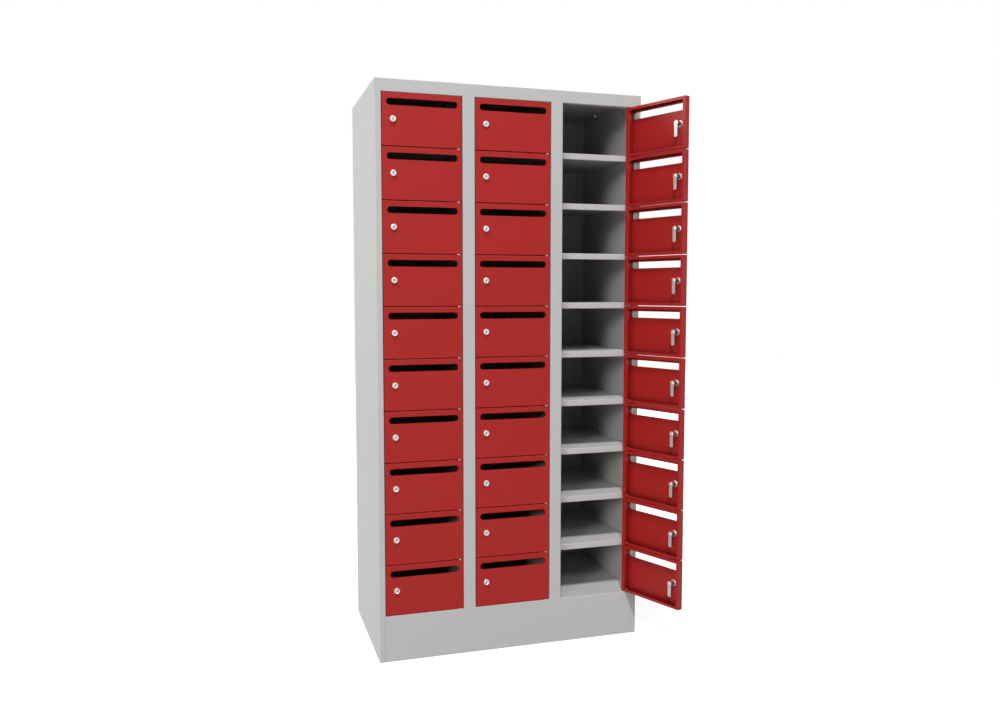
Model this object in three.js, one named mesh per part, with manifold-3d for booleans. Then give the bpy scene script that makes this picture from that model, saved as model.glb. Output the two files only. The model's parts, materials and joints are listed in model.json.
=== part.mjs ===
import * as THREE from 'three';
import { mergeVertices } from 'three/addons/utils/BufferGeometryUtils.js';
import Module from 'manifold-3d';

const wasm = await Module();
wasm.setup();

// Millimetres, +Z up, +X to the right of a person facing the doors, +Y towards the back.
// The floor is z = 0, the hinge rods stand in the plane y = 0.

// Cabinet
const WIDTH = 900;
const DEPTH = 500;
const HEIGHT = 1850;
const COLUMNS = 3;
const ROWS = 10;
const GAUGE = 1;
const BEND = 2;

// Front frame
const STILE = 20;
const MULLION = 40;
const HEADER = 40;
const PLINTH = 150;
const FRAME_RETURN = 22;
const FLANGE = 20;
const STACK_HOLE = 8;
const STACK_HOLE_EDGE = 11;
const STACK_HOLE_SPACING = 230;

// Shelves
const LIP_SETBACK = 32.6;
const LIP_HEIGHT = 20;
const LIP_HEM = 10;

// Doors
const DOOR_GAP = 2.5;
const DOOR_SIDE_GAP = 2;
const DOOR_RECESS = 1;
const DOOR_DEPTH = 20;
const DOOR_BEND = 1.2;
const DOOR_RETURN = 10;
const DOOR_LOCK_RETURN = 11;
const OPEN_ANGLE = THREE.MathUtils.degToRad(111.1);

// Letter slot
const SLOT_LENGTH = 227;
const SLOT_HEIGHT = 21.5;
const SLOT_BELOW_TOP = 17.5;

// Hinge rods
const PIN_EDGE = 10;
const PIN_DEPTH = 6;
const HINGE_CHANNEL = 14;
const ROD_DIAMETER = 5;
const ROD_SIDES = 6;
const ROD_END = 6;
const COLLAR_DIAMETER = 8;
const LUG_AHEAD = 4;
const LUG_BEHIND = 7.5;
const LUG_OVERHANG = 6;

// Cam locks
const LOCK_INSET = 34.5;
const LOCK_DIAMETER = 19;
const LOCK_PROUD = 7.5;
const BARREL_DIAMETER = 16;
const PLUG_DIAMETER = 11.4;
const KEYWAY_WIDTH = 1.8;
const KEYWAY_LENGTH = 7;
const KEYWAY_DEPTH = 5;
const CAM_LENGTH = 43;
const CAM_WIDTH = 13;
const CAM_HEAD = 17;
const CAM_THICKNESS = 2.5;
const CAM_NIP = 2.6;
const CAM_DOWN = Math.PI / 2;

// Clearances
const RUNNING = 0.4;
const COLLAR_LIFT = 0.2;
const LAP = 0.3;
const CAM_CLEAR = 1.5;
const WELD = 0.5;

// Facets
const BEND_STEPS = 2;
const SHELF_BEND_STEPS = 1;
const SLOT_END_STEPS = 4;
const STACK_HOLE_SIDES = 8;
const LOCK_SIDES = 10;
const BARREL_SIDES = 6;
const CAM_HEAD_STEPS = 5;

// Derived positions
const hingeDepth = DOOR_RECESS + PIN_DEPTH;
const front = -hingeDepth;
const back = front + DEPTH;
const half = WIDTH / 2;
const backSheet = back - 2 * GAUGE;
const openWidth = (WIDTH - 2 * STILE - (COLUMNS - 1) * MULLION) / COLUMNS;
const openTop = HEIGHT - HEADER;
const pitch = (openTop - PLINTH) / ROWS;
const hingeInset = PIN_EDGE + DOOR_SIDE_GAP;
const openLeft = (c) => -half + STILE + c * (openWidth + MULLION);
const openRight = (c) => openLeft(c) + openWidth;
const hingeX = (c) => openRight(c) - hingeInset;
const line = (r) => openTop - r * pitch;
const frameBack = front + FRAME_RETURN;
const doorLeft = -(openWidth - hingeInset - DOOR_SIDE_GAP);
const doorRight = PIN_EDGE;
const doorHeight = pitch - DOOR_GAP;
const face = front + DOOR_RECESS;
const inner = face + DOOR_DEPTH;
const lockX = doorLeft + LOCK_INSET;
const lockZ = doorHeight / 2;
const lockFront = face - LOCK_PROUD;
const camFront = Math.max(frameBack, inner) + CAM_CLEAR;
const camBack = camFront + CAM_THICKNESS;
const lapY = (front + LIP_SETBACK + backSheet) / 2;

function toSolid(geometry) {
  const g = geometry.clone();
  g.deleteAttribute('normal');
  g.deleteAttribute('uv');
  const welded = mergeVertices(g, 1e-5);
  const mesh = new wasm.Mesh({
    numProp: 3,
    vertProperties: Float32Array.from(welded.attributes.position.array),
    triVerts: Uint32Array.from(welded.index.array),
  });
  return new wasm.Manifold(mesh);
}

function toGeometry(solid) {
  const mesh = solid.getMesh();
  const geometry = new THREE.BufferGeometry();
  const positions = new Float32Array(mesh.numVert * 3);
  for (let i = 0; i < mesh.numVert; i += 1) {
    for (let k = 0; k < 3; k += 1) {
      positions[i * 3 + k] = mesh.vertProperties[i * mesh.numProp + k];
    }
  }
  geometry.setAttribute('position', new THREE.BufferAttribute(positions, 3));
  geometry.setIndex(new THREE.BufferAttribute(Uint32Array.from(mesh.triVerts), 1));
  geometry.computeVertexNormals();
  return geometry;
}

const join = (solids) => solids.reduce((a, b) => a.add(b));
const cut = (solid, tools) => tools.reduce((a, b) => a.subtract(b), solid);

function block(x0, x1, y0, y1, z0, z1) {
  const g = new THREE.BoxGeometry(x1 - x0, y1 - y0, z1 - z0);
  g.translate((x0 + x1) / 2, (y0 + y1) / 2, (z0 + z1) / 2);
  return toSolid(g);
}

// Upright round bar between two heights.
function post(x, y, radius, z0, z1, sides) {
  const g = new THREE.CylinderGeometry(radius, radius, z1 - z0, sides);
  g.rotateX(Math.PI / 2);
  g.translate(x, y, (z0 + z1) / 2);
  return toSolid(g);
}

// Round or many-sided bar along Y between two depths.
function boss(x, z, radius, y0, y1, sides) {
  const g = new THREE.CylinderGeometry(radius, radius, y1 - y0, sides);
  g.translate(x, (y0 + y1) / 2, z);
  return toSolid(g);
}

// Outline of a bent sheet: the path is one surface, the sheet lies to its left.
function folded(path, steps) {
  const near = [];
  const far = [];
  const direction = (a, b) => b.clone().sub(a).normalize();
  const left = (d) => new THREE.Vector2(-d.y, d.x);
  const points = path.map(([u, v]) => new THREE.Vector2(u, v));
  const last = points.length - 1;
  const first = direction(points[0], points[1]);
  near.push(points[0]);
  far.push(points[0].clone().addScaledVector(left(first), GAUGE));
  for (let i = 1; i < last; i += 1) {
    const d1 = direction(points[i - 1], points[i]);
    const d2 = direction(points[i], points[i + 1]);
    const turnsLeft = d1.x * d2.y - d1.y * d2.x > 0;
    const rNear = turnsLeft ? BEND : BEND - GAUGE;
    const rFar = turnsLeft ? BEND - GAUGE : BEND;
    const centre = points[i].clone().addScaledVector(d1, -rNear).addScaledVector(d2, rNear);
    for (let s = 0; s <= steps; s += 1) {
      const t = (s / steps) * Math.PI / 2;
      const ray = d2.clone().multiplyScalar(-Math.cos(t)).addScaledVector(d1, Math.sin(t));
      near.push(centre.clone().addScaledVector(ray, rNear));
      far.push(centre.clone().addScaledVector(ray, rFar));
    }
  }
  const end = direction(points[last - 1], points[last]);
  near.push(points[last]);
  far.push(points[last].clone().addScaledVector(left(end), GAUGE));
  return near.concat(far.reverse());
}

// Bent sheet with its profile drawn in X and Y, run along Z.
function uprightSheet(path, z0, z1) {
  const g = new THREE.ExtrudeGeometry(new THREE.Shape(folded(path, BEND_STEPS)), {
    depth: z1 - z0,
    bevelEnabled: false,
  });
  g.translate(0, 0, z0);
  return toSolid(g);
}

// Outline drawn in Y and Z, run along X.
function acrossX(outline, x0, x1) {
  const g = new THREE.ExtrudeGeometry(new THREE.Shape(outline), {
    depth: x1 - x0,
    bevelEnabled: false,
  });
  g.rotateY(Math.PI / 2);
  g.rotateX(Math.PI / 2);
  g.translate(x0, 0, 0);
  return toSolid(g);
}

// Rectangle, counter-clockwise in X and Z.
function rectangle(x0, x1, z0, z1) {
  return [[x0, z0], [x1, z0], [x1, z1], [x0, z1]];
}

// Closed body through matching rings, each ring a convex outline at its own depth.
function loft(rings, depths) {
  const n = rings[0].length;
  const positions = [];
  const index = [];
  rings.forEach((ring, k) => ring.forEach(([x, z]) => positions.push(x, depths[k], z)));
  for (let k = 0; k + 1 < rings.length; k += 1) {
    for (let i = 0; i < n; i += 1) {
      const a = k * n + i;
      const b = k * n + ((i + 1) % n);
      index.push(a, b + n, b, a, a + n, b + n);
    }
  }
  const end = (rings.length - 1) * n;
  for (let i = 1; i + 1 < n; i += 1) {
    index.push(0, i, i + 1, end, end + i + 1, end + i);
  }
  const g = new THREE.BufferGeometry();
  g.setAttribute('position', new THREE.Float32BufferAttribute(positions, 3));
  g.setIndex(index);
  return toSolid(g);
}

// Flat plate along Y from an outline drawn in X and Z.
function plate(outline, y0, y1) {
  const shape = new THREE.Shape(outline.map(([x, z]) => new THREE.Vector2(x, -z)));
  const g = new THREE.ExtrudeGeometry(shape, { depth: y1 - y0, bevelEnabled: false });
  g.rotateX(-Math.PI / 2);
  g.translate(0, y0, 0);
  return toSolid(g);
}

// Long hole with round ends.
function stadium(x, z, length, height, sides) {
  const r = height / 2;
  const reach = length / 2 - r;
  const points = [];
  for (const side of [1, -1]) {
    for (let s = 0; s <= sides; s += 1) {
      const t = -Math.PI / 2 + (s / sides) * Math.PI;
      points.push([x + side * (reach + r * Math.cos(t)), z + side * r * Math.sin(t)]);
    }
  }
  return points;
}

const hinged = [...Array(COLUMNS).keys()];
const lines = [...Array(ROWS - 1).keys()].map((r) => line(r + 1));

// Tongues on the right-hand jamb of a column, one in each gap between two doors.
function lugs(c) {
  return lines.map((z) => block(
    hingeX(c) - LUG_OVERHANG,
    openRight(c) + WELD,
    -LUG_AHEAD,
    LUG_BEHIND,
    z - GAUGE / 2,
    z + GAUGE / 2,
  ));
}

function rodHole(c, z0, z1) {
  return post(hingeX(c), 0, ROD_DIAMETER / 2 + RUNNING, z0, z1, ROD_SIDES);
}

function sidePanel(side) {
  const path = [
    [side * (half - STILE), frameBack],
    [side * (half - STILE), front],
    [side * half, front],
    [side * half, back],
    [side * (half - FLANGE), back],
  ];
  const ordered = side > 0 ? path : path.reverse();
  const foot = [side * (half - FLANGE), side * (half - WELD)].sort((a, b) => a - b);
  const sheet = uprightSheet(ordered, 0, HEIGHT - GAUGE);
  const parts = [sheet, block(foot[0], foot[1], frameBack + GAUGE, back - FLANGE, 0, GAUGE)];
  const stileTop = [side * (half - STILE - GAUGE), side * (half - GAUGE)].sort((a, b) => a - b);
  const tools = [
    block(-WIDTH, WIDTH, front - GAUGE, front + BEND, openTop, HEIGHT),
    block(stileTop[0], stileTop[1], front, frameBack + GAUGE, openTop, HEIGHT),
  ];
  if (side > 0) {
    parts.push(...lugs(COLUMNS - 1));
    tools.push(rodHole(COLUMNS - 1, PLINTH, openTop));
  }
  return cut(join(parts), tools);
}

function topPanel() {
  const path = [
    [frameBack, openTop],
    [front, openTop],
    [front, HEIGHT],
    [back, HEIGHT],
  ];
  const sheet = acrossX(folded(path.reverse(), BEND_STEPS), -half, half);
  const skirt = (x0) => block(
    x0,
    x0 + GAUGE,
    frameBack + GAUGE,
    back - FLANGE,
    HEIGHT - FLANGE,
    HEIGHT - WELD,
  );
  const tools = hinged.map((c) => rodHole(c, openTop - GAUGE, openTop + 2 * GAUGE));
  for (const side of [-1, 1]) {
    const trim = [side * (half - GAUGE), side * (half + GAUGE)].sort((a, b) => a - b);
    tools.push(block(trim[0], trim[1], front + BEND, back, openTop - GAUGE, openTop + BEND));
    for (const y of [-1, 1]) {
      const holeY = (front + back) / 2 + y * STACK_HOLE_SPACING / 2;
      const holeX = side * (half - STACK_HOLE_EDGE);
      const radius = STACK_HOLE / 2;
      tools.push(post(holeX, holeY, radius, HEIGHT - 2 * GAUGE, HEIGHT + GAUGE, STACK_HOLE_SIDES));
    }
  }
  return cut(join([sheet, skirt(-half + GAUGE), skirt(half - 2 * GAUGE)]), tools);
}

function basePanel() {
  const path = [
    [front + FLANGE, 0],
    [front, 0],
    [front, PLINTH],
    [backSheet, PLINTH],
    [backSheet, PLINTH - FLANGE],
  ];
  const inside = half - STILE;
  const sheet = acrossX(folded(path.reverse(), BEND_STEPS), -inside, inside);
  const parts = [sheet];
  for (const side of [-1, 1]) {
    const floor = [side * (inside - WELD), side * (half - GAUGE)].sort((a, b) => a - b);
    const skirt = [side * (half - 2 * GAUGE), side * (half - GAUGE)].sort((a, b) => a - b);
    const y0 = frameBack + GAUGE;
    parts.push(block(floor[0], floor[1], y0, backSheet - BEND, PLINTH - GAUGE, PLINTH));
    parts.push(block(skirt[0], skirt[1], y0, back - FLANGE, PLINTH - FLANGE, PLINTH - WELD));
  }
  return cut(join(parts), hinged.map((c) => rodHole(c, PLINTH - 2 * GAUGE, PLINTH + GAUGE)));
}

function backPanel() {
  return block(-half + BEND, half - BEND, backSheet, back - GAUGE, 0, HEIGHT - GAUGE);
}

const shelfTop = (z) => z + LIP_HEIGHT / 2;
const webX = (p) => openRight(p) + MULLION / 2;
const partitions = [...Array(COLUMNS - 1).keys()];

// Upright web between two columns, with a slot from the back for the rear half of each shelf.
function webOutline() {
  const points = [[front + WELD, PLINTH], [backSheet, PLINTH]];
  for (const z of [...lines].reverse()) {
    const low = shelfTop(z) - GAUGE - LAP;
    const high = shelfTop(z) + LAP;
    points.push([backSheet, low], [lapY, low], [lapY, high], [backSheet, high]);
  }
  const crown = HEIGHT - GAUGE;
  const step = frameBack + GAUGE;
  points.push([backSheet, crown], [step, crown], [step, openTop], [front + WELD, openTop]);
  return points.map(([y, z]) => new THREE.Vector2(y, z));
}

function partition(p) {
  const x = webX(p);
  const channel = uprightSheet([
    [x - MULLION / 2, frameBack],
    [x - MULLION / 2, front],
    [x + MULLION / 2, front],
    [x + MULLION / 2, frameBack],
  ], PLINTH, openTop);
  const web = acrossX(webOutline(), x - GAUGE / 2, x + GAUGE / 2);
  return cut(join([channel, web, ...lugs(p)]), [rodHole(p, PLINTH + GAUGE, openTop - GAUGE)]);
}

function shelf(z) {
  const lip = front + LIP_SETBACK;
  const top = shelfTop(z);
  const path = [
    [lip + LIP_HEM, top - LIP_HEIGHT],
    [lip, top - LIP_HEIGHT],
    [lip, top],
    [backSheet, top],
  ];
  const reach = half - GAUGE;
  const sheet = acrossX(folded(path.reverse(), SHELF_BEND_STEPS), -reach, reach);
  const parts = [sheet];
  for (const side of [-1, 1]) {
    const skirt = [side * reach, side * (reach - GAUGE)].sort((a, b) => a - b);
    parts.push(block(skirt[0], skirt[1], lip + FLANGE, back - FLANGE, top - LIP_HEIGHT, top - WELD));
  }
  const notches = partitions.map((p) => block(
    webX(p) - GAUGE / 2 - LAP,
    webX(p) + GAUGE / 2 + LAP,
    lip - GAUGE,
    lapY + GAUGE,
    top - LIP_HEIGHT - GAUGE,
    top + GAUGE,
  ));
  return cut(join(parts), notches);
}

// Rod that carries one column of doors, with a low collar under each door.
function hingeRod(c) {
  const seats = lines.map((z) => z + GAUGE / 2).concat([PLINTH]);
  const radius = ROD_DIAMETER / 2;
  const profile = [new THREE.Vector2(0, PLINTH - ROD_END), new THREE.Vector2(radius, PLINTH - ROD_END)];
  for (const z of seats.reverse()) {
    const rise = z === PLINTH ? DOOR_GAP / 2 : DOOR_GAP / 2 - GAUGE / 2;
    profile.push(new THREE.Vector2(radius, z));
    profile.push(new THREE.Vector2(COLLAR_DIAMETER / 2, z));
    profile.push(new THREE.Vector2(COLLAR_DIAMETER / 2, z + rise - COLLAR_LIFT));
    profile.push(new THREE.Vector2(radius, z + rise - COLLAR_LIFT));
  }
  profile.push(new THREE.Vector2(radius, openTop + ROD_END), new THREE.Vector2(0, openTop + ROD_END));
  const g = new THREE.LatheGeometry(profile, ROD_SIDES);
  g.rotateX(Math.PI / 2);
  g.translate(hingeX(c), 0, 0);
  return toSolid(g);
}

// Flat bar with a round head. It hangs down when unlocked; a quarter turn throws it past the free edge.
function camPlate() {
  const r = CAM_HEAD / 2;
  const w = CAM_WIDTH / 2;
  const neck = Math.asin(w / r);
  const points = [];
  for (let s = 0; s <= CAM_HEAD_STEPS; s += 1) {
    const t = neck + (s / CAM_HEAD_STEPS) * (2 * Math.PI - 2 * neck);
    points.push([r * Math.cos(t), r * Math.sin(t)]);
  }
  points.push([CAM_LENGTH - CAM_NIP, -w], [CAM_LENGTH, -w + CAM_NIP]);
  points.push([CAM_LENGTH, w - CAM_NIP], [CAM_LENGTH - CAM_NIP, w]);
  const angle = Math.PI + CAM_DOWN;
  const cos = Math.cos(angle);
  const sin = Math.sin(angle);
  return points.map(([u, v]) => [lockX + u * cos - v * sin, lockZ + u * sin + v * cos]);
}

function keyway() {
  return block(
    lockX - KEYWAY_WIDTH / 2,
    lockX + KEYWAY_WIDTH / 2,
    lockFront - GAUGE,
    lockFront + KEYWAY_DEPTH,
    lockZ - KEYWAY_LENGTH / 2,
    lockZ + KEYWAY_LENGTH / 2,
  );
}

// Folded pan with a closed channel along the hinge edge, in which the rod runs.
function doorPan() {
  const outline = (inset) => rectangle(
    doorLeft + inset,
    doorRight - inset,
    inset,
    doorHeight - inset,
  );
  const skin = loft(
    [outline(DOOR_BEND), outline(0), outline(0)],
    [face, face + DOOR_BEND, inner],
  );
  const room = (x0, x1) => block(x0, x1, face + GAUGE, inner - GAUGE, GAUGE, doorHeight - GAUGE);
  const channelX = doorRight - HINGE_CHANNEL;
  const pan = room(doorLeft + GAUGE, channelX);
  const channel = room(channelX + GAUGE, doorRight - GAUGE);
  const window = block(
    doorLeft + DOOR_LOCK_RETURN,
    channelX,
    inner - 2 * GAUGE,
    inner + GAUGE,
    DOOR_RETURN,
    doorHeight - DOOR_RETURN,
  );
  const slotZ = doorHeight - SLOT_BELOW_TOP - SLOT_HEIGHT / 2;
  const slotX = (doorLeft + doorRight) / 2;
  const mouth = stadium(slotX, slotZ, SLOT_LENGTH, SLOT_HEIGHT, SLOT_END_STEPS);
  const slot = plate(mouth, face - GAUGE, face + 2 * GAUGE);
  const pinHole = post(0, 0, ROD_DIAMETER / 2 + RUNNING, -GAUGE, doorHeight + GAUGE, ROD_SIDES);
  return cut(skin, [pan, channel, window, slot, pinHole]);
}

// Lock body: a round head on the door skin and a barrel through it.
function lockBody(rear) {
  return [
    boss(lockX, lockZ, LOCK_DIAMETER / 2, lockFront, face + WELD, LOCK_SIDES),
    boss(lockX, lockZ, BARREL_DIAMETER / 2, face, rear, BARREL_SIDES),
  ];
}

function closedDoor() {
  const cam = plate(camPlate(), camFront, camBack);
  return cut(join([doorPan(), ...lockBody(camFront + WELD), cam]), [keyway()]);
}

function openDoor() {
  const bore = boss(lockX, lockZ, PLUG_DIAMETER / 2 + RUNNING, lockFront - GAUGE, camFront, LOCK_SIDES);
  return cut(join([doorPan(), ...lockBody(camFront - LAP)]), [bore]);
}

function lockCam() {
  const plug = boss(lockX, lockZ, PLUG_DIAMETER / 2, lockFront, camFront + WELD, LOCK_SIDES);
  return cut(plug.add(plate(camPlate(), camFront, camBack)), [keyway()]);
}

const paint = (name, color, roughness, metalness) => ({ name, color, roughness, metalness });
const GREY = paint('grey_paint', 0xc9cac7, 0.5, 0.0);
const RED = paint('red_paint', 0xa8231d, 0.45, 0.0);
const STEEL = paint('zinc_steel', 0xc8c8c6, 0.35, 1.0);

const group = new THREE.Group();
group.name = 'mail_sorter';

function place(name, geometry, finish) {
  const material = new THREE.MeshStandardMaterial(finish);
  const mesh = new THREE.Mesh(geometry, material);
  mesh.name = name;
  group.add(mesh);
  return mesh;
}

place('left_side_panel', toGeometry(sidePanel(-1)), GREY);
place('right_side_panel', toGeometry(sidePanel(1)), GREY);
place('top_panel', toGeometry(topPanel()), GREY);
place('base_panel', toGeometry(basePanel()), GREY);
place('back_panel', toGeometry(backPanel()), GREY);
partitions.forEach((p) => place(`partition_${p + 1}`, toGeometry(partition(p)), GREY));
lines.forEach((z, r) => place(`shelf_${r + 1}`, toGeometry(shelf(z)), GREY));
hinged.forEach((c) => place(`hinge_rod_${c + 1}`, toGeometry(hingeRod(c)), STEEL));

const shut = toGeometry(closedDoor());
const ajar = toGeometry(openDoor());
const latch = toGeometry(lockCam());

function hang(mesh, c, r, turn) {
  mesh.position.set(hingeX(c), 0, line(r + 1) + DOOR_GAP / 2);
  mesh.rotation.z = turn;
}

for (const c of hinged) {
  for (let r = 0; r < ROWS; r += 1) {
    const isOpen = c === COLUMNS - 1;
    const door = place(`door_${c + 1}_${r + 1}`, isOpen ? ajar : shut, RED);
    hang(door, c, r, isOpen ? OPEN_ANGLE : 0);
    if (isOpen) {
      hang(place(`lock_cam_${r + 1}`, latch, STEEL), c, r, OPEN_ANGLE);
    }
  }
}

export default group;
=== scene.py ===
import json
import math

import bmesh
import bpy
from mathutils import Matrix, Vector

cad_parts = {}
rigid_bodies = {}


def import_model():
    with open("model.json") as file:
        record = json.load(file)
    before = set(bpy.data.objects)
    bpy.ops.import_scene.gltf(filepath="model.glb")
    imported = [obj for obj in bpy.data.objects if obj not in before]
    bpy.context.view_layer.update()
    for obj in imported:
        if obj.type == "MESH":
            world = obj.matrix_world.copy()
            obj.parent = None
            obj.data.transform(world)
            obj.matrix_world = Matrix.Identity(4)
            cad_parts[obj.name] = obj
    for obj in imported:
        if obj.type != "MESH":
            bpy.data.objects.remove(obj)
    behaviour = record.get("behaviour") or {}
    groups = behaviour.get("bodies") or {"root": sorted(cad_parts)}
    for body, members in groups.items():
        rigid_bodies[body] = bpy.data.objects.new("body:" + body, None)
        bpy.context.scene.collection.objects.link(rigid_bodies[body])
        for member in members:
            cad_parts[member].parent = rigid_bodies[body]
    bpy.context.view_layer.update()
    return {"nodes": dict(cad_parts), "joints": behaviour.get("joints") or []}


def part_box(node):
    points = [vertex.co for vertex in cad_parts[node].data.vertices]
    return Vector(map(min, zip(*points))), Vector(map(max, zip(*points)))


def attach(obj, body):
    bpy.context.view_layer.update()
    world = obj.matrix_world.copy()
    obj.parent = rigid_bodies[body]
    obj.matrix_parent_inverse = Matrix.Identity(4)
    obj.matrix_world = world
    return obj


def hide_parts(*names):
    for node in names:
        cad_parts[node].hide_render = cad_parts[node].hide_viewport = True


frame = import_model()
jointOf = {joint["child"]: joint for joint in frame["joints"]}
columns = sum(name.startswith("hinge_rod_") for name in frame["nodes"])
rows = sum(name.startswith("shelf_") for name in frame["nodes"]) + 1
print("frame loaded:", len(frame["nodes"]), "nodes,", columns, "columns,", rows, "rows")

topLow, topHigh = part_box("top_panel")
cabinet = {
    "half": topHigh.x,
    "front": topLow.y,
    "back": topHigh.y,
    "height": topHigh.z,
    "openTop": topLow.z,
    "plinth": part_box("base_panel")[1].z,
    "sheet": 0.001,         # steel thickness
    "bend": 0.002,          # outer radius of a fold
    "bendSteps": 4,
    "stile": 0.020,
    "mullion": 0.040,
    "frameReturn": 0.022,   # the frame folds back this far round each opening
    "flange": 0.020,
    "weld": 0.0005,         # how far welded sheets run into each other
    "slabEdge": 0.000125,   # bevel of a small welded plate
    "sharpFold": 38,        # degrees, past which an edge is shaded crisp
}
frameBack = cabinet["front"] + cabinet["frameReturn"]
backSheet = cabinet["back"] - 2 * cabinet["sheet"]
pinX = [jointOf[f"door_{c + 1}_1"]["pos_m"][0] for c in range(columns)]
webX = [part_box(f"partition_{c + 1}")[1].x - cabinet["mullion"] / 2 for c in range(columns - 1)]
shelfTops = [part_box(f"shelf_{r + 1}")[1].z for r in range(rows - 1)]
gapLines = [z - (shelfTops[0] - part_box("shelf_1")[0].z) / 2 for z in shelfTops]


# Materials

noiseSpan = (0.3, 0.7)      # nearly all of a noise lies between these


def startMaterial(name):
    material = bpy.data.materials.new(name)
    material.use_nodes = True
    tree = material.node_tree
    shader = tree.nodes["Principled BSDF"]
    place = tree.nodes.new("ShaderNodeTexCoord")
    return material, tree, shader, place.outputs["Object"]


def noise(tree, place, scale, detail):
    node = tree.nodes.new("ShaderNodeTexNoise")
    node.inputs["Scale"].default_value = scale
    node.inputs["Detail"].default_value = detail
    tree.links.new(place, node.inputs["Vector"])
    return node.outputs["Fac"]


def spread(tree, value, low, high):
    node = tree.nodes.new("ShaderNodeMapRange")
    node.inputs["From Min"].default_value = noiseSpan[0]
    node.inputs["From Max"].default_value = noiseSpan[1]
    node.inputs["To Min"].default_value = low
    node.inputs["To Max"].default_value = high
    tree.links.new(value, node.inputs["Value"])
    return node.outputs["Result"]


def blendColour(tree, value, first, second):
    node = tree.nodes.new("ShaderNodeMix")
    node.data_type = "RGBA"
    node.inputs["A"].default_value = (*first, 1)
    node.inputs["B"].default_value = (*second, 1)
    tree.links.new(value, node.inputs["Factor"])
    return node.outputs["Result"]


def pebble(tree, shader, height, strength, distance):
    bump = tree.nodes.new("ShaderNodeBump")
    bump.inputs["Strength"].default_value = strength
    bump.inputs["Distance"].default_value = distance
    tree.links.new(height, bump.inputs["Height"])
    tree.links.new(bump.outputs["Normal"], shader.inputs["Normal"])


# painted shade: an occlusion node darkens the colour where a piece's own folds and corners crowd it
def paintedRecessShade(tree, colour, coat):
    corner = tree.nodes.new("ShaderNodeAmbientOcclusion")
    corner.only_local = True
    corner.samples = coat["paintedShadeSamples"]
    corner.inputs["Distance"].default_value = coat["paintedShadeReach"]
    shade = tree.nodes.new("ShaderNodeMix")
    shade.data_type = "RGBA"
    shade.blend_type = "MULTIPLY"
    shade.inputs["Factor"].default_value = coat["paintedShade"]
    tree.links.new(colour, shade.inputs["A"])
    tree.links.new(corner.outputs["AO"], shade.inputs["B"])
    return shade.outputs["Result"]


def driftingColour(tree, place, finish):
    drift = spread(tree, noise(tree, place, finish["driftScale"], finish["driftDetail"]), 0, 1)
    return blendColour(tree, drift, finish["tone"], finish["toneFar"])


def driftingRoughness(tree, place, finish):
    wander = noise(tree, place, finish["roughScale"], finish["roughDetail"])
    return spread(tree, wander, *finish["roughness"])


def powderCoat(name, coat):
    material, tree, shader, place = startMaterial(name)
    colour = driftingColour(tree, place, coat)
    # painted shade in the folds, for coats that ask for it
    if coat["paintedShade"]:
        colour = paintedRecessShade(tree, colour, coat)
    tree.links.new(colour, shader.inputs["Base Color"])
    tree.links.new(driftingRoughness(tree, place, coat), shader.inputs["Roughness"])
    shader.inputs["Specular IOR Level"].default_value = coat["gloss"]
    skin = noise(tree, place, coat["pebbleScale"], coat["pebbleDetail"])
    pebble(tree, shader, skin, coat["pebbleStrength"], coat["pebbleHeight"])
    return material


greyCoat = {
    "tone": (0.534, 0.535, 0.526),
    "toneFar": (0.521, 0.523, 0.514),
    "driftScale": 2.2,
    "driftDetail": 3,
    "gloss": 0.20,
    "paintedShade": 0,
    "roughness": (0.42, 0.52),
    "roughScale": 40,
    "roughDetail": 4,
    "pebbleScale": 420,      # about two millimetres from pebble to pebble
    "pebbleDetail": 2,
    "pebbleStrength": 0.25,
    "pebbleHeight": 0.00005,
}
redCoat = {
    "tone": (0.376, 0.0080, 0.0055),
    "toneFar": (0.362, 0.0075, 0.0051),
    "driftScale": 3.0,
    "driftDetail": 3,
    "gloss": 0.43,
    "paintedShade": 0.85,     # painted shade: darkens the coat in a door's own folds and corners
    "paintedShadeReach": 0.030,
    "paintedShadeSamples": 24,
    "roughness": (0.40, 0.50),
    "roughScale": 45,
    "roughDetail": 4,
    "pebbleScale": 420,
    "pebbleDetail": 2,
    "pebbleStrength": 0.25,
    "pebbleHeight": 0.00005,
}
zincPlate = {
    "tone": (0.76, 0.76, 0.745),
    "toneFar": (0.68, 0.68, 0.665),
    "driftScale": 160,
    "driftDetail": 4,
    "roughness": (0.32, 0.46),
    "roughScale": 300,
    "roughDetail": 3,
}
brightPlate = {
    "tone": (0.94, 0.94, 0.92),
    "toneFar": (0.87, 0.87, 0.85),
    "driftScale": 160,
    "driftDetail": 4,
    "roughness": (0.40, 0.55),
    "roughScale": 300,
    "roughDetail": 3,
}
# painted shade: a near-black tone for the inside of the key slot, where shade falls
keyholeShadeTone = {
    "tone": (0.030, 0.030, 0.032),
    "toneFar": (0.012, 0.012, 0.013),
    "driftScale": 500,
    "driftDetail": 2,
    "roughness": 0.6,
}


def platedMetal(name, plate):
    material, tree, shader, place = startMaterial(name)
    shader.inputs["Metallic"].default_value = 1.0
    tree.links.new(driftingColour(tree, place, plate), shader.inputs["Base Color"])
    tree.links.new(driftingRoughness(tree, place, plate), shader.inputs["Roughness"])
    return material


# painted shade: a dark matt material that stands in for the shade inside a recess
def paintedShadeMaterial(name, recess):
    material, tree, shader, place = startMaterial(name)
    shader.inputs["Roughness"].default_value = recess["roughness"]
    tree.links.new(driftingColour(tree, place, recess), shader.inputs["Base Color"])
    return material


greyPaint = powderCoat("grey_powder_coat", greyCoat)
redPaint = powderCoat("red_powder_coat", redCoat)
zinc = platedMetal("zinc_plate", zincPlate)
brightZinc = platedMetal("bright_zinc_plate", brightPlate)
keyholeShadePaint = paintedShadeMaterial("keyhole_painted_shade", keyholeShadeTone)
print("materials made")


# Shared ways of making sheet metal

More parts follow.
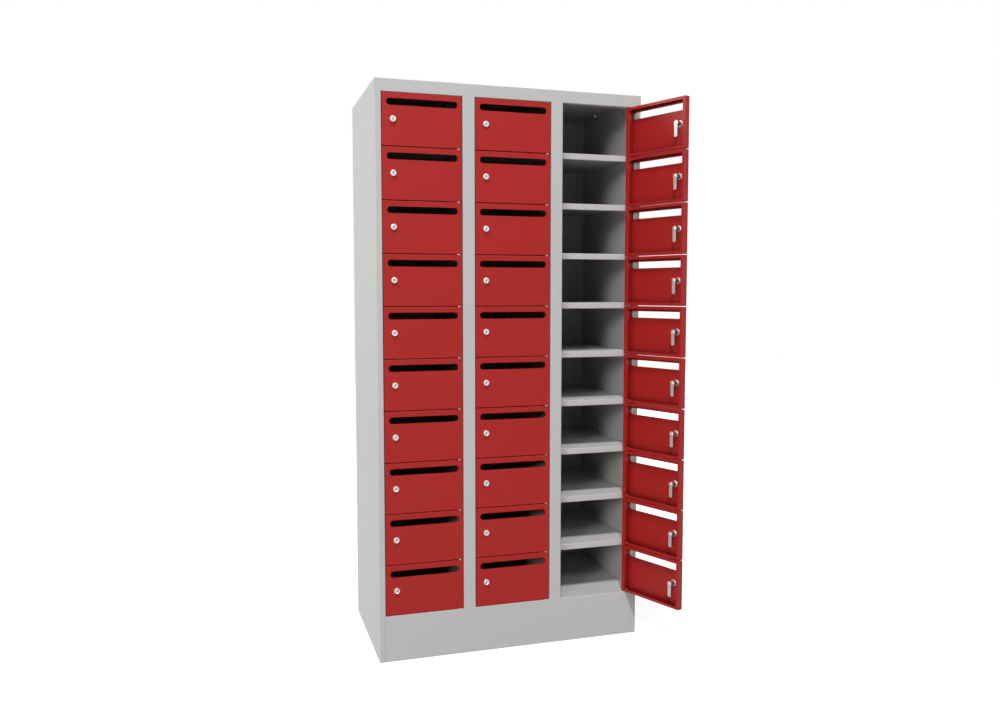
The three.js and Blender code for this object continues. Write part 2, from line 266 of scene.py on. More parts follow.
sameSpot = 1e-6             # points closer than this are one
foldAngle = 1.0             # radians between faces, from which an edge counts as a fold
cornerAngle = 0.5           # and as a corner of a nut or bolt
facingLimit = 0.99          # how squarely a face has to look in a direction


def vertsOf(made):
    return [item for item in made if isinstance(item, bmesh.types.BMVert)]


def inOrder(items):
    return list(dict.fromkeys(items))    # each one once, so that every run fills a face alike


def joined(parts):
    whole = bmesh.new()
    for part in parts:
        mesh = bpy.data.meshes.new("part")
        part.to_mesh(mesh)
        part.free()
        whole.from_mesh(mesh)
        bpy.data.meshes.remove(mesh)
    return whole


def facing(bm, direction):
    bmesh.ops.recalc_face_normals(bm, faces=bm.faces[:])
    bm.normal_update()
    widest = max(bm.faces, key=lambda f: abs(f.normal.dot(direction)) * f.calc_area())
    if widest.normal.dot(direction) < 0:
        bmesh.ops.reverse_faces(bm, faces=bm.faces[:])
    bm.normal_update()


def foldedSheet(path, run, outward):
    bm = bmesh.new()
    corners = [bm.verts.new(point) for point in path]
    strip = [bm.edges.new(pair) for pair in zip(corners, corners[1:])]
    made = bmesh.ops.extrude_edge_only(bm, edges=strip)["geom"]
    bmesh.ops.translate(bm, vec=run, verts=vertsOf(made))
    bmesh.ops.bevel(
        bm, geom=[edge for edge in bm.edges if len(edge.link_faces) == 2], affect="EDGES",
        offset=cabinet["bend"], segments=cabinet["bendSteps"], profile=0.5, material=-1,
    )
    facing(bm, Vector(outward))
    return bm


def sliceAt(bm, place, direction):
    bmesh.ops.bisect_plane(
        bm, geom=bm.verts[:] + bm.edges[:] + bm.faces[:], dist=sameSpot,
        plane_co=place, plane_no=direction,
    )


def thickened(bm):
    bmesh.ops.solidify(bm, geom=bm.faces[:], thickness=cabinet["sheet"])
    return bm


def slab(low, high):
    bm = bmesh.new()
    low, high = Vector(low), Vector(high)
    bmesh.ops.create_cube(bm, size=1.0)
    bmesh.ops.scale(bm, vec=high - low, verts=bm.verts[:])
    bmesh.ops.translate(bm, vec=(low + high) / 2, verts=bm.verts[:])
    bmesh.ops.bevel(
        bm, geom=bm.edges[:], affect="EDGES", offset=cabinet["slabEdge"], segments=1,
        profile=0.5, material=-1,
    )
    return bm


def mirroredSlab(side, nearX, farX, lowYz, highYz):
    xs = sorted((side * nearX, side * farX))
    return slab((xs[0], *lowYz), (xs[1], *highYz))


def finishPiece(bm, name, body, materials, replaced=()):
    mesh = bpy.data.meshes.new(name)
    bm.to_mesh(mesh)
    bm.free()
    mesh.shade_smooth()
    mesh.set_sharp_from_angle(angle=math.radians(cabinet["sharpFold"]))
    for material in materials:
        mesh.materials.append(material)
    piece = bpy.data.objects.new(name, mesh)
    bpy.context.scene.collection.objects.link(piece)
    flats = piece.modifiers.new("flat_faces_stay_flat", "WEIGHTED_NORMAL")
    flats.keep_sharp = True
    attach(piece, body)
    if replaced:
        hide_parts(*replaced)


def roundHole(bm, radius, place, steps):
    made = bmesh.ops.create_circle(bm, cap_ends=False, segments=steps, radius=radius, matrix=place)
    return inOrder(edge for vert in made["verts"] for edge in vert.link_edges)


def widestFace(bm, direction):
    bm.normal_update()
    return max(bm.faces, key=lambda f: f.calc_area() if f.normal.dot(direction) > facingLimit else 0)


def turned(profile, steps, closed=False):
    bm = bmesh.new()
    points = [bm.verts.new((radius, along, 0)) for radius, along in profile]
    edges = [bm.edges.new(pair) for pair in zip(points, points[1:])]
    if closed:
        edges.append(bm.edges.new((points[-1], points[0])))
    bmesh.ops.spin(
        bm, geom=points + edges, cent=(0, 0, 0), axis=(0, 1, 0), angle=2 * math.pi, steps=steps,
        use_merge=True,
    )
    bmesh.ops.remove_doubles(bm, verts=bm.verts[:], dist=sameSpot)
    bmesh.ops.recalc_face_normals(bm, faces=bm.faces[:])
    return bm


def alongDepth(y, x=0, z=0):
    return Matrix.Translation((x, y, z)) @ Matrix.Rotation(math.pi / 2, 4, "X")


# Lugs that carry a hinge rod between two doors

lugForm = {
    "overhang": 0.006,
    "ahead": 0.004,             # in front of the hinge axis, and behind it
    "behind": 0.0075,
    "corner": 0.0025,
    "cornerSteps": 4,
    "neckX": 0.0045,            # from here to the jamb the front edge is set back
    "neckY": 0.0020,
    "hole": 0.0029,
    "holeSteps": 20,
}


def lug(pin, wall, z):
    bm = bmesh.new()
    top = z + cabinet["sheet"] / 2
    tip = pin - lugForm["overhang"]
    ahead, behind = -lugForm["ahead"], lugForm["behind"]
    neckX, neckY = pin + lugForm["neckX"], lugForm["neckY"]
    outline = (
        (tip, ahead), (neckX, ahead), (neckX, neckY), (wall, neckY), (wall, behind), (tip, behind),
    )
    corners = [bm.verts.new((x, y, top)) for x, y in outline]
    bm.faces.new(corners)
    bmesh.ops.bevel(
        bm, geom=[corners[0], corners[1], corners[5]], affect="VERTICES", offset=lugForm["corner"],
        segments=lugForm["cornerSteps"], profile=0.5, material=-1,
    )
    edges = bm.edges[:]
    bmesh.ops.delete(bm, geom=bm.faces[:], context="FACES_ONLY")
    edges += roundHole(bm, lugForm["hole"], Matrix.Translation((pin, 0, top)), lugForm["holeSteps"])
    bmesh.ops.triangle_fill(bm, use_beauty=True, edges=edges)
    facing(bm, Vector((0, 0, 1)))
    return thickened(bm)


def lugsOf(column):
    wall = pinX[column] + doorForm["hingeGap"] + cabinet["weld"]
    return [lug(pinX[column], wall, z) for z in gapLines]


# Doors: folded pans with a letter slot, drawn round their hinge axis, shut

closedLow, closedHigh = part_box("door_1_1")
pin = Vector(jointOf["door_1_1"]["pos_m"])
doorForm = {
    "free": closedLow.x - pin.x,
    "hinged": closedHigh.x - pin.x,
    "hingeGap": 0.012,          # hinge axis to jamb
    "bottom": closedLow.z - pin.z,
    "top": closedHigh.z - pin.z,
    "depth": 0.020,
    "pinDepth": 0.006,          # hinge axis behind the door's face
    "fold": 0.0016,
    "foldSteps": 4,
    "return": 0.010,
    "lockReturn": 0.011,
    "hingeChannel": 0.014,      # closed fold in which the rod runs
    "slotLength": 0.227,
    "slotHeight": 0.0215,
    "slotBelowTop": 0.0175,
    "slotSteps": 12,
    "pinHole": 0.0029,
    "pinHoleSteps": 20,
}
doorGap = shelfTops[0] - shelfTops[1] - (doorForm["top"] - doorForm["bottom"])


def slotEdges(bm):
    form = doorForm
    face = -form["pinDepth"]
    middle = (form["free"] + form["hinged"]) / 2
    reach = form["slotLength"] / 2
    high = form["top"] - form["slotBelowTop"]
    low = high - form["slotHeight"]
    left, right = middle - reach, middle + reach
    outline = ((left, low), (right, low), (right, high), (left, high))
    corners = [bm.verts.new((x, face, z)) for x, z in outline]
    before = set(bm.edges)
    bm.faces.new(corners)
    bmesh.ops.bevel(
        bm, geom=corners, affect="VERTICES", offset=form["slotHeight"] / 2,
        segments=form["slotSteps"] // 2, profile=0.5, material=-1,
    )
    edges = [edge for edge in bm.edges if edge not in before]
    faces = inOrder(face for edge in edges for face in edge.link_faces)
    bmesh.ops.delete(bm, geom=faces, context="FACES_ONLY")
    verts = inOrder(vert for edge in edges for vert in edge.verts)
    bmesh.ops.remove_doubles(bm, verts=verts, dist=sameSpot)
    return [edge for edge in bm.edges if edge not in before and not edge.link_faces]


def doorPanel():
    form = doorForm
    near, far = -form["pinDepth"], form["depth"] - form["pinDepth"]
    channelX = form["hinged"] - form["hingeChannel"]
    bm = bmesh.new()
    outline = (
        (form["free"], form["bottom"]), (form["hinged"], form["bottom"]),
        (form["hinged"], form["top"]), (form["free"], form["top"]),
    )
    bm.faces.new([bm.verts.new((x, near, z)) for x, z in outline])
    walls = bmesh.ops.extrude_edge_only(bm, edges=bm.edges[:])["geom"]
    bmesh.ops.translate(bm, vec=(0, form["depth"], 0), verts=vertsOf(walls))
    rear = [edge for edge in bm.edges if all(vert.co.y > 0 for vert in edge.verts)]
    returns = vertsOf(bmesh.ops.extrude_edge_only(bm, edges=rear)["geom"])
    for vert in returns:
        vert.co.x = form["free"] + form["lockReturn"] if vert.co.x < 0 else channelX
        vert.co.z += form["return"] if vert.co.z < 0 else -form["return"]
    onChannel = {vert for vert in returns if vert.co.x > form["free"] / 2}
    lip = [edge for edge in bm.edges if onChannel.issuperset(edge.verts)]
    channelWall = vertsOf(bmesh.ops.extrude_edge_only(bm, edges=lip)["geom"])
    bmesh.ops.translate(bm, vec=(0, near + cabinet["sheet"] - far, 0), verts=channelWall)
    folds = [edge for edge in bm.edges if edge.calc_face_angle(0) > foldAngle]
    bmesh.ops.bevel(
        bm, geom=folds, affect="EDGES", offset=form["fold"], segments=form["foldSteps"],
        profile=0.5, material=-1,
    )
    facing(bm, Vector((0, -1, 0)))
    for direction, cutter in (((0, -1, 0), "slot"), ((0, 0, 1), "pin"), ((0, 0, -1), "pin")):
        wall = widestFace(bm, Vector(direction))
        rim = wall.edges[:]
        height = wall.calc_center_median().z
        bmesh.ops.delete(bm, geom=[wall], context="FACES_ONLY")
        if cutter == "slot":
            rim += slotEdges(bm)
        else:
            place = Matrix.Translation((0, 0, height))
            rim += roundHole(bm, form["pinHole"], place, form["pinHoleSteps"])
        bmesh.ops.triangle_fill(bm, use_beauty=True, edges=rim)
    facing(bm, Vector((0, -1, 0)))
    return thickened(bm)


# Cam locks, drawn round their own axis along the depth of a shut door

lockForm = {
    "proud": 0.0075,            # the head stands this far out of the door
    "head": 0.0095,
    "rim": 0.0016,              # rounding of the head's front edge
    "rimSteps": 4,
    "bore": 0.0060,
    "mouth": 0.0007,
    "barrel": 0.0080,
    "camPlay": 0.0005,          # between the barrel's end and the cam
    "turnSteps": 40,
    "chamferSteps": 2,
    "nutRadius": 0.0118,
    "nutSides": 6,
    "nutThick": 0.0035,
    "nutChamfer": 0.0007,
    "plug": 0.0057,
    "plugSunk": 0.0004,
    "keyWidth": 0.0027,
    "keyLength": 0.0078,
    "keyDepth": 0.0050,
    "camFront": 0.0165,
    "camThick": 0.0025,
    "camHead": 0.0085,
    "camHalfWidth": 0.0065,
    "camReach": 0.043,
    "camSteps": 28,
    "camNip": 0.0040,
    "camNipSteps": 6,
    "camEdge": 0.0004,
    "washer": 0.0056,
    "washerThick": 0.0010,
    "washerEdge": 0.0010 / 3,
    "screwRadius": 0.0044,
    "screwSides": 6,
    "screwThick": 0.0032,
    "screwChamfer": 0.0006,
}
lockFront = -doorForm["pinDepth"] - lockForm["proud"]
camRear = lockForm["camFront"] + lockForm["camThick"]


def platedFaces(bm, depth):
    made = bmesh.ops.extrude_face_region(bm, geom=bm.faces[:])["geom"]
    bmesh.ops.translate(bm, vec=(0, depth, 0), verts=vertsOf(made))
    bmesh.ops.recalc_face_normals(bm, faces=bm.faces[:])
    return bm


def lockHead():
    form = lockForm
    head, rim, bore, barrel = form["head"], form["rim"], form["bore"], form["barrel"]
    face, rear = -doorForm["pinDepth"], form["camFront"] - form["camPlay"]
    profile = [(bore, lockFront + form["mouth"]), (bore + form["mouth"], lockFront)]
    for step in range(form["rimSteps"] + 1):
        turn = step / form["rimSteps"] * math.pi / 2
        profile.append((head - rim + rim * math.sin(turn), lockFront + rim - rim * math.cos(turn)))
    profile += [(head, face), (barrel, face), (barrel, rear), (bore, rear)]
    return turned(profile, form["turnSteps"], closed=True)


def ringNut():
    form = lockForm
    bm = bmesh.new()
    seat = -doorForm["pinDepth"] + cabinet["sheet"]
    edges = roundHole(bm, form["nutRadius"], alongDepth(seat), form["nutSides"])
    edges += roundHole(bm, form["barrel"], alongDepth(seat), form["turnSteps"])
    bmesh.ops.triangle_fill(bm, use_beauty=True, edges=edges)
    platedFaces(bm, form["nutThick"])
    sharp = [edge for edge in bm.edges if edge.calc_face_angle() > cornerAngle]
    clear = (form["barrel"] + form["nutRadius"]) / 2
    outer = [edge for edge in sharp if all(vert.co.xz.length > clear for vert in edge.verts)]
    bmesh.ops.bevel(
        bm, geom=outer, affect="EDGES", offset=form["nutChamfer"], segments=form["chamferSteps"],
        profile=0.5, material=-1,
    )
    return bm


def keyedPlug():
    form = lockForm
    bm = bmesh.new()
    front = lockFront + form["plugSunk"]
    half, reach = form["keyWidth"] / 2, form["keyLength"] / 2
    disc = roundHole(bm, form["plug"], alongDepth(front), form["turnSteps"])
    outline = ((-half, -reach), (half, -reach), (half, reach), (-half, reach))
    corners = [bm.verts.new((x, front, z)) for x, z in outline]
    slit = [bm.edges.new(pair) for pair in zip(corners, corners[1:] + corners[:1])]
    bmesh.ops.triangle_fill(bm, use_beauty=True, edges=disc + slit)
    floor = bmesh.ops.extrude_edge_only(bm, edges=slit)["geom"]
    bmesh.ops.translate(bm, vec=(0, form["keyDepth"], 0), verts=vertsOf(floor))
    bottom = bm.faces.new(vertsOf(floor))
    # the slot's walls and floor take the second material, the painted shade
    for face in [bottom] + [item for item in floor if isinstance(item, bmesh.types.BMFace)]:
        face.material_index = 1
    barrel = bmesh.ops.extrude_edge_only(bm, edges=disc)["geom"]
    bmesh.ops.translate(bm, vec=(0, form["camFront"] - front, 0), verts=vertsOf(barrel))
    rear = [edge for edge in bm.edges if len(edge.link_faces) == 1]
    bmesh.ops.triangle_fill(bm, use_beauty=True, edges=rear)
    bmesh.ops.recalc_face_normals(bm, faces=bm.faces[:])
    return bm


def camArm():
    form = lockForm
    bm = bmesh.new()
    near = form["camFront"]
    head, half = form["camHead"], form["camHalfWidth"]
    neck = -math.sqrt(head ** 2 - half ** 2)
    start = bm.verts.new((half, near, neck))
    sweep = 2 * math.pi - 2 * math.atan2(half, -neck)
    bmesh.ops.spin(
        bm, geom=[start], cent=(0, near, 0), axis=(0, -1, 0), angle=sweep, steps=form["camSteps"],
    )
    across = Vector((-half, near, neck))
    end = min(bm.verts, key=lambda vert: (vert.co - across).length)
    tips = [bm.verts.new((x, near, -form["camReach"])) for x in (-half, half)]
    for pair in ((end, tips[0]), tips, (tips[1], start)):
        bm.edges.new(pair)
    bmesh.ops.edgenet_fill(bm, edges=bm.edges[:])
    bmesh.ops.bevel(
        bm, geom=tips, affect="VERTICES", offset=form["camNip"], segments=form["camNipSteps"],
        profile=0.5, material=-1,
    )
    platedFaces(bm, form["camThick"])
    rims = [edge for edge in bm.edges if edge.calc_face_angle() > foldAngle]
    bmesh.ops.bevel(
        bm, geom=rims, affect="EDGES", offset=form["camEdge"], segments=form["chamferSteps"],
        profile=0.5, material=-1,
    )
    return bm


def camScrew():
    form = lockForm
    under, soft = camRear + form["washerThick"], form["washerEdge"]
    washer = turned([
        (0, camRear), (form["washer"], camRear), (form["washer"], under - soft),
        (form["washer"] - soft, under), (0, under),
    ], form["turnSteps"])
    bolt = bmesh.new()
    edges = roundHole(bolt, form["screwRadius"], alongDepth(under), form["screwSides"])
    bmesh.ops.triangle_fill(bolt, use_beauty=True, edges=edges)
    platedFaces(bolt, form["screwThick"])
    sharp = [edge for edge in bolt.edges if edge.calc_face_angle() > cornerAngle]
    waist = under + form["screwThick"] / 2
    crown = [edge for edge in sharp if any(vert.co.y > waist for vert in edge.verts)]
    bmesh.ops.bevel(
        bolt, geom=crown, affect="EDGES", offset=form["screwChamfer"], segments=form["chamferSteps"],
        profile=0.5, material=-1,
    )
    return joined([washer, bolt])


# Cabinet panels

spotWelds = {"radius": 0.0034, "dish": 0.0010, "depth": 0.0003, "spacing": 0.166, "steps": 15}


def spotWelded(skin, x):
    form = spotWelds
    flange = widestFace(skin, Vector((0, 1, 0)))
    rim = flange.edges[:]
    levels = [corner.co.z for corner in flange.verts]
    low, tall = min(levels), max(levels) - min(levels)
    count = round(tall / form["spacing"])
    bmesh.ops.delete(skin, geom=[flange], context="FACES_ONLY")
    spots = []
    for step in range(count):
        z = low + (step + 0.5) * tall / count
        place = alongDepth(cabinet["back"], x, z)
        ring = bmesh.ops.create_circle(
            skin, cap_ends=True, segments=form["steps"], radius=form["radius"], matrix=place,
        )["verts"]
        rim += inOrder(edge for vert in ring for edge in vert.link_edges)
        spots += inOrder(face for vert in ring for face in vert.link_faces)
    bmesh.ops.triangle_fill(skin, use_beauty=True, edges=rim)
    facing(skin, Vector((x, 0, 0)))
    bmesh.ops.inset_individual(skin, faces=spots, thickness=form["dish"], depth=-form["depth"])
    return skin


def sidePanel(side):
    half, front, back = cabinet["half"], cabinet["front"], cabinet["back"]
    sheet, flange, stile, bend = (cabinet[key] for key in ("sheet", "flange", "stile", "bend"))
    crown = cabinet["height"] - sheet
    path = [
        (side * (half - stile), frameBack, 0), (side * (half - stile), front, 0), (side * half, front, 0),
        (side * half, back, 0), (side * (half - flange), back, 0),
    ]
    skin = foldedSheet(path, (0, 0, crown), (side, 0, 0))
    for level in (cabinet["plinth"], cabinet["openTop"]):
        sliceAt(skin, (0, 0, level), (0, 0, 1))
    cutAway = []
    inner = half - stile + bend
    for face in skin.faces:
        middle = face.calc_center_median()
        onStile = abs(middle.x) < half - bend and middle.y < frameBack + sheet
        atHeader = middle.z > cabinet["openTop"] and (onStile or middle.y < front + bend)
        atPlinth = middle.z < cabinet["plinth"] and abs(middle.x) < inner and middle.y < frameBack + sheet
        if atHeader or atPlinth:
            cutAway.append(face)
    bmesh.ops.delete(skin, geom=cutAway, context="FACES")
    parts = [thickened(spotWelded(skin, side * (half - flange / 2)))]
    seam = ((front, 0), (front + sheet, cabinet["plinth"]))
    parts.append(mirroredSlab(side, half - stile, inner + cabinet["weld"], *seam))
    foot = ((frameBack + sheet, 0), (back - flange, sheet))
    parts.append(mirroredSlab(side, half - flange, half - cabinet["weld"], *foot))
    if side > 0:
        parts += lugsOf(columns - 1)
    return joined(parts)


stackHoles = {"radius": 0.004, "fromEdge": 0.011, "spacing": 0.230, "steps": 24}


def topPanel():
    half, front, back, height = (cabinet[key] for key in ("half", "front", "back", "height"))
    sheet, flange, openTop, bend = (cabinet[key] for key in ("sheet", "flange", "openTop", "bend"))
    profile = [(frameBack, openTop), (front, openTop), (front, height), (back, height)]
    path = [(-half, y, z) for y, z in profile]
    skin = foldedSheet(path, (2 * half, 0, 0), (0, 0, 1))
    roof = widestFace(skin, Vector((0, 0, 1)))
    rim = roof.edges[:]
    bmesh.ops.delete(skin, geom=[roof], context="FACES_ONLY")
    for x in (-half + stackHoles["fromEdge"], half - stackHoles["fromEdge"]):
        for shift in (-0.5, 0.5):
            y = (front + back) / 2 + shift * stackHoles["spacing"]
            rim += roundHole(
                skin, stackHoles["radius"], Matrix.Translation((x, y, height)), stackHoles["steps"],
            )
    bmesh.ops.triangle_fill(skin, use_beauty=True, edges=rim)
    for x in (-half + sheet, half - sheet):
        sliceAt(skin, (x, 0, 0), (1, 0, 0))
    ends = []
    for face in skin.faces:
        middle = face.calc_center_median()
        if abs(middle.x) > half - sheet and middle.z < openTop + bend and middle.y > front + bend:
            ends.append(face)
    bmesh.ops.delete(skin, geom=ends, context="FACES")
    facing(skin, Vector((0, 0, 1)))
    parts = [thickened(skin)]
    skirt = ((frameBack + sheet, height - flange), (back - flange, height - cabinet["weld"]))
    parts += [mirroredSlab(side, half - 2 * sheet, half - sheet, *skirt) for side in (-1, 1)]
    # ground welds that bring the uprights flush with the header's lower fold, and close its ends
    for side in (-1, 1):
        seam = ((front, openTop), (front + sheet, openTop + bend))
        parts.append(mirroredSlab(side, half - cabinet["stile"], half, *seam))
        end = ((front + sheet / 2, openTop), (front + bend, height - bend))
        parts.append(mirroredSlab(side, half - sheet, half, *end))
    for x in webX:
        reach = cabinet["mullion"] / 2
        parts.append(slab((x - reach, front, openTop), (x + reach, front + sheet, openTop + bend)))
    return joined(parts)


def basePanel():
    half, front, plinth = cabinet["half"], cabinet["front"], cabinet["plinth"]
    sheet, flange, bend = cabinet["sheet"], cabinet["flange"], cabinet["bend"]
    inside = half - cabinet["stile"]
    profile = [(front + flange, 0), (front, 0), (front, plinth)]
    profile += [(backSheet, plinth), (backSheet, plinth - flange)]
    skin = foldedSheet([(-inside, y, z) for y, z in profile], (2 * inside, 0, 0), (0, 0, 1))
    parts = [thickened(skin)]
    start = frameBack + sheet
    for side in (-1, 1):
        floor = ((start, plinth - sheet), (backSheet - bend, plinth))
        parts.append(mirroredSlab(side, inside - cabinet["weld"], half - sheet, *floor))
        skirt = ((start, plinth - flange), (cabinet["back"] - flange, plinth - cabinet["weld"]))
        parts.append(mirroredSlab(side, half - 2 * sheet, half - sheet, *skirt))
    for x in webX:
        reach = cabinet["mullion"] / 2
        parts.append(slab((x - reach, front, plinth - bend), (x + reach, front + sheet, plinth)))
    return joined(parts)


shelfForm = {
    "hem": 0.010,
    "lap": 0.0003,              # play round a sheet that passes through another
}
shelfLow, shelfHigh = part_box("shelf_1")
lapY = (shelfLow.y + backSheet) / 2


def partition(column):
    x = webX[column]
    reach, front, sheet = cabinet["mullion"] / 2, cabinet["front"], cabinet["sheet"]
    low, high = cabinet["plinth"], cabinet["openTop"]
    path = [(x - reach, frameBack, low), (x - reach, front, low)]
    path += [(x + reach, front, low), (x + reach, frameBack, low)]
    channel = thickened(foldedSheet(path, (0, 0, high - low), (0, -1, 0)))
    web = bmesh.new()
    crown = cabinet["height"] - sheet
    ahead, step, lap = front + cabinet["weld"], frameBack + sheet, shelfForm["lap"]
    outline = ((ahead, low), (backSheet, low), (backSheet, crown), (ahead, crown))
    web.faces.new([web.verts.new((x + sheet / 2, y, z)) for y, z in outline])
    levels = [top + shift for top in shelfTops for shift in (-sheet - lap, lap)] + [high]
    cuts = [((0, 0, z), (0, 0, 1)) for z in levels]
    for place, direction in cuts + [((0, y, 0), (0, 1, 0)) for y in (step, lapY)]:
        sliceAt(web, place, direction)
    cutAway = []
    for face in web.faces:
        middle = face.calc_center_median()
        behindHeader = middle.z > high and middle.y < step
        onLap = any(top - sheet - lap < middle.z < top + lap for top in shelfTops)
        if behindHeader or (onLap and middle.y > lapY):
            cutAway.append(face)
    bmesh.ops.delete(web, geom=cutAway, context="FACES")
    facing(web, Vector((1, 0, 0)))
    return joined([channel, thickened(web), *lugsOf(column)])


def shelf(index):
    top = shelfTops[index]
    lip, drop = shelfLow.y, shelfHigh.z - shelfLow.z
    sheet, flange = cabinet["sheet"], cabinet["flange"]
    reach = cabinet["half"] - sheet
    profile = [(lip + shelfForm["hem"], top - drop), (lip, top - drop), (lip, top), (backSheet, top)]
    skin = foldedSheet([(-reach, y, z) for y, z in profile], (2 * reach, 0, 0), (0, 0, 1))
    wide = sheet / 2 + shelfForm["lap"]
    cuts = [((x + shift, 0, 0), (1, 0, 0)) for x in webX for shift in (-wide, wide)]
    for place, direction in cuts + [((0, lapY + sheet, 0), (0, 1, 0))]:
        sliceAt(skin, place, direction)
    notches = []
    for face in skin.faces:
        middle = face.calc_center_median()
        if middle.y < lapY + sheet and any(abs(middle.x - x) < wide for x in webX):
            notches.append(face)
    bmesh.ops.delete(skin, geom=notches, context="FACES")
    parts = [thickened(skin)]
    skirt = ((lip + flange, top - drop), (cabinet["back"] - flange, top - cabinet["weld"]))
    parts += [mirroredSlab(side, reach - sheet, reach, *skirt) for side in (-1, 1)]
    return joined(parts)


rodForm = {
    "radius": 0.0025,
    "collar": 0.005,
    "lift": 0.0002,             # play between a collar and the door above or below it
    "end": 0.006,
    "steps": 24,
}


def hingeRod(column):
    form = rodForm
    low, high, sheet = cabinet["plinth"], cabinet["openTop"], cabinet["sheet"]
    thick = (doorGap - sheet) / 2 - form["lift"]
    collars = [(low, low + doorGap / 2 - form["lift"])]
    for z in reversed(gapLines):
        collars.append((z - sheet / 2 - thick, z - sheet / 2))
        collars.append((z + sheet / 2, z + sheet / 2 + thick))
    profile = [(0, low - form["end"]), (form["radius"], low - form["end"])]
    for under, over in collars:
        profile += [(form["radius"], under), (form["collar"], under)]
        profile += [(form["collar"], over), (form["radius"], over)]
    profile += [(form["radius"], high + form["end"]), (0, high + form["end"])]
    bm = turned(profile, form["steps"])
    upright = Matrix.Rotation(math.pi / 2, 3, "X")
    bmesh.ops.rotate(bm, cent=(0, 0, 0), matrix=upright, verts=bm.verts[:])
    bmesh.ops.translate(bm, vec=(pinX[column], 0, 0), verts=bm.verts[:])
    return bm


def cabinetPiece(bm, node):
    finishPiece(bm, "sheet_" + node, "cabinet", [greyPaint], [node])


cabinetPiece(sidePanel(-1), "left_side_panel")
cabinetPiece(sidePanel(1), "right_side_panel")
cabinetPiece(topPanel(), "top_panel")
cabinetPiece(basePanel(), "base_panel")
for column in range(columns - 1):
    cabinetPiece(partition(column), f"partition_{column + 1}")
for row in range(rows - 1):
    cabinetPiece(shelf(row), f"shelf_{row + 1}")
for column in range(columns):
    node = f"hinge_rod_{column + 1}"
    finishPiece(hingeRod(column), "round_" + node, "cabinet", [brightZinc], [node])
for slot in frame["nodes"]["back_panel"].material_slots:
    slot.material = greyPaint
print("cabinet made")


# Hanging the doors and their locks

def shutToRest(door):
    joint = jointOf[door]
    turn = math.radians(-min(0, joint["range_deg"][0]))
    return Matrix.Translation(joint["pos_m"]) @ Matrix.Rotation(turn, 4, "Z")


camJoint = jointOf["lock_cam_1"]
lockAxis = shutToRest(camJoint["parent"]).inverted() @ Vector(camJoint["pos_m"])
lockPlace = Matrix.Translation((lockAxis.x, 0, lockAxis.z))


def placed(bm, matrix):
    bmesh.ops.transform(bm, matrix=matrix, verts=bm.verts[:])
    return bm


for column in range(columns):
    for row in range(rows):
        door = f"door_{column + 1}_{row + 1}"
        hang = shutToRest(door)
        cam = f"lock_cam_{row + 1}"
        camBody = cam if jointOf.get(cam, {}).get("parent") == door else door
        finishPiece(placed(doorPanel(), hang), "panel_" + door, door, [redPaint], [door])
        lock = joined([lockHead(), ringNut()])
        finishPiece(placed(lock, hang @ lockPlace), "lock_of_" + door, door, [zinc])
        latch = placed(joined([keyedPlug(), camArm(), camScrew()]), hang @ lockPlace)
        stoodFor = [cam] if camBody == cam else []
        finishPiece(latch, "latch_of_" + door, camBody, [zinc, keyholeShadePaint], stoodFor)
print("doors and locks made")


# Floor, light and camera

stage = {
    "reach": 9.0,
    "drop": 0.0004,
    "shade": 0.42,
    "ownWhite": 0.82,       # near the object, rising to full white between these distances
    "fadeFrom": 1.0,
    "fadeTo": 2.6,
    "mirrored": 0.48,       # share of the own white that reflections show
}


def seenDirectly(tree, mirrored):
    path = tree.nodes.new("ShaderNodeLightPath")
    value = path.outputs["Is Camera Ray"]
    for ray, weight in (("Is Glossy Ray", mirrored), ("Is Transmission Ray", 1.0)):
        share = tree.nodes.new("ShaderNodeMath")
        share.operation = "MULTIPLY"
        share.inputs[1].default_value = weight
        tree.links.new(path.outputs[ray], share.inputs[0])
        both = tree.nodes.new("ShaderNodeMath")
        both.operation = "MAXIMUM"
        tree.links.new(value, both.inputs[0])
        tree.links.new(share.outputs[0], both.inputs[1])
        value = both.outputs[0]
    return value


def stageFloor():
    bm = bmesh.new()
    bmesh.ops.create_grid(bm, x_segments=2, y_segments=2, size=stage["reach"])
    bmesh.ops.translate(bm, vec=(0, 0, -stage["drop"]), verts=bm.verts[:])
    mesh = bpy.data.meshes.new("floor")
    bm.to_mesh(mesh)
    bm.free()
    floor = bpy.data.objects.new("floor", mesh)
    bpy.context.scene.collection.objects.link(floor)
    material = bpy.data.materials.new("floor_white")
    material.use_nodes = True
    tree = material.node_tree
    tree.nodes.clear()
    output = tree.nodes.new("ShaderNodeOutputMaterial")
    matt = tree.nodes.new("ShaderNodeBsdfDiffuse")
    matt.inputs["Color"].default_value = (stage["shade"],) * 3 + (1,)
    glow = tree.nodes.new("ShaderNodeEmission")
    both = tree.nodes.new("ShaderNodeAddShader")
    seen = seenDirectly(tree, stage["mirrored"])
    place = tree.nodes.new("ShaderNodeTexCoord")
    away = tree.nodes.new("ShaderNodeVectorMath")
    away.operation = "LENGTH"
    tree.links.new(place.outputs["Object"], away.inputs[0])
    fade = tree.nodes.new("ShaderNodeMapRange")
    fade.inputs["From Min"].default_value = stage["fadeFrom"]
    fade.inputs["From Max"].default_value = stage["fadeTo"]
    fade.inputs["To Min"].default_value = stage["ownWhite"]
    tree.links.new(away.outputs["Value"], fade.inputs["Value"])
    level = tree.nodes.new("ShaderNodeMath")
    level.operation = "MULTIPLY"
    tree.links.new(seen, level.inputs[0])
    tree.links.new(fade.outputs["Result"], level.inputs[1])
    tree.links.new(level.outputs[0], glow.inputs["Strength"])
    tree.links.new(matt.outputs[0], both.inputs[0])
    tree.links.new(glow.outputs[0], both.inputs[1])
    tree.links.new(both.outputs[0], output.inputs["Surface"])
    mesh.materials.append(material)


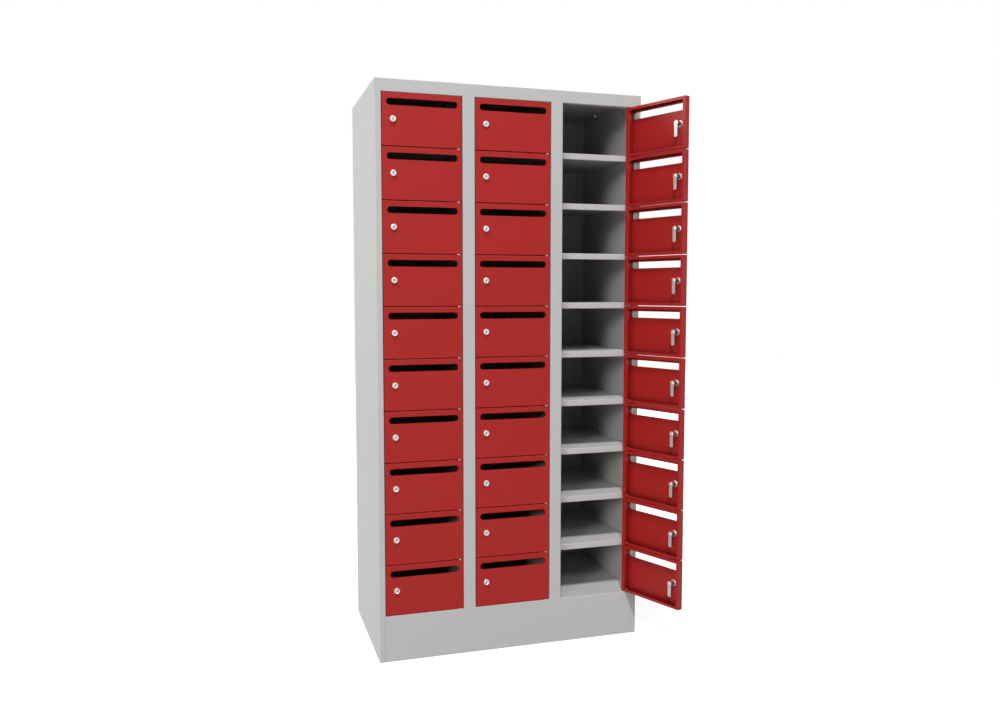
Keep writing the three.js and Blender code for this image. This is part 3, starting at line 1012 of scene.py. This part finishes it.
studio = {
    "ambient": 0.09,
    "aim": (0, 0.1, 0.95),
    # power in watts, size and distance in metres, degrees left of straight ahead and above level
    "lamps": {
        "high_front": {"power": 1430, "size": 1.9, "distance": 14.0, "left": 18, "high": 58},
        "low_front": {"power": 212, "size": 2.2, "distance": 14.0, "left": 18, "high": 36},
        "corner": {"power": 590, "size": 3.5, "distance": 14.0, "left": 45, "high": 15},
        "left_fill": {"power": 412, "size": 4.0, "distance": 10.0, "left": 112, "high": 12},
        "right_fill": {"power": 420, "size": 4.0, "distance": 10.0, "left": -125, "high": 20},
    },
}


def hangLamp(name, form):
    lamp = bpy.data.lights.new(name, "AREA")
    lamp.shape = "DISK"
    lamp.size = form["size"]
    lamp.energy = form["power"]
    holder = bpy.data.objects.new(name, lamp)
    bpy.context.scene.collection.objects.link(holder)
    left, high = math.radians(form["left"]), math.radians(form["high"])
    towards = Vector((-math.sin(left) * math.cos(high), -math.cos(left) * math.cos(high), math.sin(high)))
    holder.location = Vector(studio["aim"]) + towards * form["distance"]
    holder.rotation_euler = towards.to_track_quat("Z", "Y").to_euler()


def studioLight():
    world = bpy.data.worlds.new("studio")
    bpy.context.scene.world = world
    world.use_nodes = True
    tree = world.node_tree
    tree.nodes.clear()
    output = tree.nodes.new("ShaderNodeOutputWorld")
    room = tree.nodes.new("ShaderNodeBackground")
    room.inputs["Strength"].default_value = studio["ambient"]
    white = tree.nodes.new("ShaderNodeBackground")
    for sky in (room, white):
        sky.inputs["Color"].default_value = (1, 1, 1, 1)
    pick = tree.nodes.new("ShaderNodeMixShader")
    tree.links.new(seenDirectly(tree, 1.0), pick.inputs["Fac"])
    tree.links.new(room.outputs[0], pick.inputs[1])
    tree.links.new(white.outputs[0], pick.inputs[2])
    tree.links.new(pick.outputs[0], output.inputs["Surface"])
    for name, form in studio["lamps"].items():
        hangLamp(name, form)


photoCamera = {
    "place": (-0.89862, -2.77918, 1.19311),
    "turnRight": 17.0935,
    "tipDown": 4.2021,
    "lens": 31.99,
    "sensor": 36.0,
}


def setCamera():
    data = bpy.data.cameras.new("photo_camera")
    data.lens = photoCamera["lens"]
    data.sensor_width = photoCamera["sensor"]
    camera = bpy.data.objects.new("photo_camera", data)
    bpy.context.scene.collection.objects.link(camera)
    camera.location = photoCamera["place"]
    camera.rotation_euler = (
        math.radians(90 - photoCamera["tipDown"]), 0, math.radians(-photoCamera["turnRight"]),
    )
    bpy.context.scene.camera = camera


stageFloor()
studioLight()
setCamera()
bpy.context.scene.view_settings.view_transform = "Standard"
print("stage, light and camera set")

bpy.context.view_layer.update()
